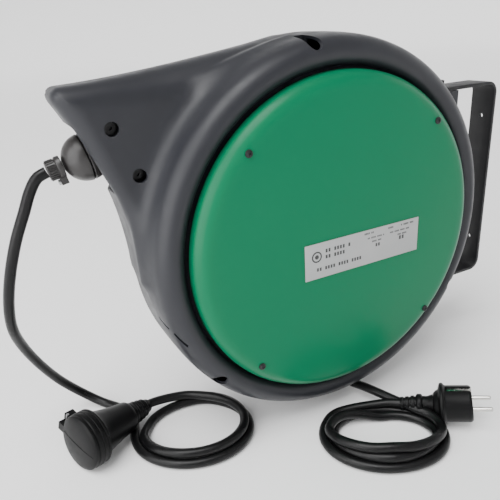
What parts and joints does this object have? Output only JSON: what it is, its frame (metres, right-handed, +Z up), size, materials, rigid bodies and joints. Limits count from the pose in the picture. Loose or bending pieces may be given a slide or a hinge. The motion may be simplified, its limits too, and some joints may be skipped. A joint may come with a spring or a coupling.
{
  "type": "extension cord reel",
  "caption": "Wall-mounted spring-rewind extension cord reel with a swivelling casing on a steel strap, cable mouth with ball stopper, lidded socket and a supply lead with plug.",
  "frame": {"origin": "centre of the strap's back face, which lies against the wall", "axes": "+Z up along the swivel pins, +X into the wall, the cover facing -Y and the cable mouth towards -X"},
  "size_m": [0.5796, 0.2838, 0.3979],
  "materials": {
    "casing": "satin moulded plastic with a fine grain",
    "cover_paint": "smooth gloss paint",
    "label": "printed foil label",
    "black_steel": "black powder coat",
    "zinc": "zinc plated",
    "steel": "plain machined steel",
    "brass": "turned brass",
    "nickel": "nickel plated",
    "drum": "moulded plastic",
    "nylon": "plain nylon",
    "rubber": "matt rubber",
    "stopper": "satin moulded plastic"
  },
  "bodies": {
    "bracket": {"wall_bracket": "black_steel", "pivot_bolt_top": "zinc", "pivot_bolt_bottom": "zinc"},
    "reel": {"cover_screw_1": "black_steel", "cover_screw_2": "black_steel", "cover_screw_3": "black_steel", "cover_screw_4": "black_steel", "case_screw_top": "zinc", "case_screw_left": "zinc", "case_screw_right": "zinc", "roller_screw_upper": "zinc", "roller_screw_lower": "zinc", "stopper_clamp_screw": "zinc", "front_shell": "casing", "rear_shell": "casing", "rear_cover": "casing", "front_cover": "cover_paint", "rating_label": "label", "brush_holder": "drum", "inner_lead": "rubber", "outlet_cord_lead": "rubber", "outlet_cord_coil": "rubber", "supply_cord_lead": "rubber", "supply_cord_coil": "rubber", "supply_gland": "rubber", "socket_body": "rubber", "socket_insert": "rubber", "socket_strain_relief": "rubber", "plug_body": "rubber", "plug_strain_relief": "rubber", "main_shaft": "steel", "pawl_pin": "steel", "socket_lid_pin": "steel", "brush_1": "brass", "brush_2": "brass", "brush_3": "brass", "stopper_half_outer": "stopper", "stopper_half_inner": "stopper", "stopper_collar": "stopper", "plug_pin_1": "nickel", "plug_pin_2": "nickel", "plug_earth_strip_1": "nickel", "plug_earth_strip_2": "nickel"},
    "drum": {"drum_hub": "drum", "drum_flange_front": "drum", "drum_flange_rear": "drum", "cable_winding": "rubber", "spring_case": "steel", "spring_case_cover": "steel", "mainspring": "steel", "shaft_bush_front": "nylon", "shaft_bush_rear": "nylon", "ratchet_wheel": "steel", "slip_ring_1": "brass", "slip_ring_2": "brass", "slip_ring_3": "brass"},
    "pawl": {"pawl": "steel"},
    "roller_upper": {"guide_roller_upper": "nylon"},
    "roller_lower": {"guide_roller_lower": "nylon"},
    "lid": {"socket_lid": "rubber"}
  },
  "joints": [
    {"name": "reel_swivel", "type": "hinge", "parent": "bracket", "child": "reel", "pos_m": [-0.08, 0, 0], "axis": [0, 0, 1], "range_deg": [-75, 75]},
    {"name": "drum_spin", "type": "hinge", "parent": "reel", "child": "drum", "pos_m": [-0.266, 0, 0], "axis": [0, 1, 0], "continuous": true},
    {"name": "pawl_swing", "type": "hinge", "parent": "reel", "child": "pawl", "pos_m": [-0.207, -0.048, 0.10219], "axis": [0, -1, 0], "range_deg": [-15, 11], "stiffness_Nm_per_rad": 0.02, "springref_deg": 8.59},
    {"name": "roller_upper_spin", "type": "hinge", "parent": "reel", "child": "roller_upper", "pos_m": [-0.467, 0, 0.131], "axis": [0, 1, 0], "continuous": true},
    {"name": "roller_lower_spin", "type": "hinge", "parent": "reel", "child": "roller_lower", "pos_m": [-0.45, 0, 0.09], "axis": [0, 1, 0], "continuous": true},
    {"name": "lid_hinge", "type": "hinge", "parent": "reel", "child": "lid", "pos_m": [-0.54845, 0.02079, -0.16867], "axis": [-0.218, 0.1466, -0.9649], "range_deg": [0, 110], "stiffness_Nm_per_rad": 0.03, "springref_deg": -34.38}
  ]
}
